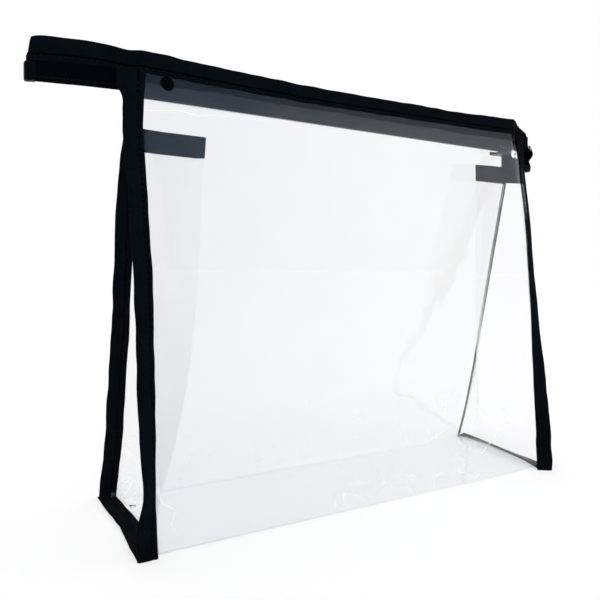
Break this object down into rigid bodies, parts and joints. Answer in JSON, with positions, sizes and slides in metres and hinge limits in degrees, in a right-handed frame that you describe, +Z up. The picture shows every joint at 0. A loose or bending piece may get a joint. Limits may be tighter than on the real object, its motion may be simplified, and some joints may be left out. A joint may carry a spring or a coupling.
{
  "type": "makeup bag",
  "caption": "Clear zip-top makeup bag with black fabric binding, pleated side gussets and a loose tail at each end of the zip.",
  "frame": {"origin": "centre of the underside of the base, where the bag stands", "axes": "+X along the width towards the folded tail, -Y is the front, +Z is up"},
  "size_m": [0.3416, 0.0897, 0.24],
  "materials": {
    "clear_pvc": "clear, glossy flexible vinyl sheet",
    "black_pvc": "glossy black vinyl strip",
    "black_fabric": "black woven bias binding, topstitched",
    "zip_tape": "black twill zip tape",
    "zip_coil": "black nylon coil",
    "zip_metal": "black enamelled die-cast metal"
  },
  "bodies": {
    "bag": {"front_panel": "clear_pvc", "back_panel": "clear_pvc", "base_panel": "clear_pvc", "left_gusset": "clear_pvc", "right_gusset": "clear_pvc", "left_gusset_hem": "black_pvc", "right_gusset_hem": "black_pvc", "left_front_seam_binding": "black_fabric", "left_back_seam_binding": "black_fabric", "left_base_seam_binding": "black_fabric", "right_front_seam_binding": "black_fabric", "right_back_seam_binding": "black_fabric", "right_base_seam_binding": "black_fabric", "front_top_binding": "black_fabric", "back_top_binding": "black_fabric", "front_zip_tape": "zip_tape", "back_zip_tape": "zip_tape", "front_zip_coil": "zip_coil", "back_zip_coil": "zip_coil"},
    "slider": {"zip_slider": "zip_metal"},
    "puller": {"zip_puller": "zip_metal"},
    "left_tail": {"left_tail_front_binding": "black_fabric", "left_tail_back_binding": "black_fabric", "left_tail_front_tape": "zip_tape", "left_tail_back_tape": "zip_tape", "left_tail_coil": "zip_coil", "left_tail_end_cap": "black_pvc"},
    "right_tail": {"right_tail_front_binding": "black_fabric", "right_tail_back_binding": "black_fabric", "right_tail_front_tape": "zip_tape", "right_tail_back_tape": "zip_tape", "right_tail_coil": "zip_coil", "right_tail_end_cap": "black_pvc"}
  },
  "joints": [
    {"name": "zip_slide", "type": "slide", "parent": "bag", "child": "slider", "axis": [-1, 0, 0], "range_m": [0, 0.226]},
    {"name": "puller_swing", "type": "hinge", "parent": "slider", "child": "puller", "pos_m": [0.124, 0, 0.2225], "axis": [0, 1, 0], "range_deg": [0, 110]},
    {"name": "left_tail_fold", "type": "hinge", "parent": "bag", "child": "left_tail", "pos_m": [-0.143, 0, 0.229], "axis": [0, 0, 1], "range_deg": [-75, 75]},
    {"name": "right_tail_fold", "type": "hinge", "parent": "bag", "child": "right_tail", "pos_m": [0.14947, 0.0035, 0.23147], "axis": [0.7071, 0, -0.7071], "range_deg": [0, 100]}
  ]
}
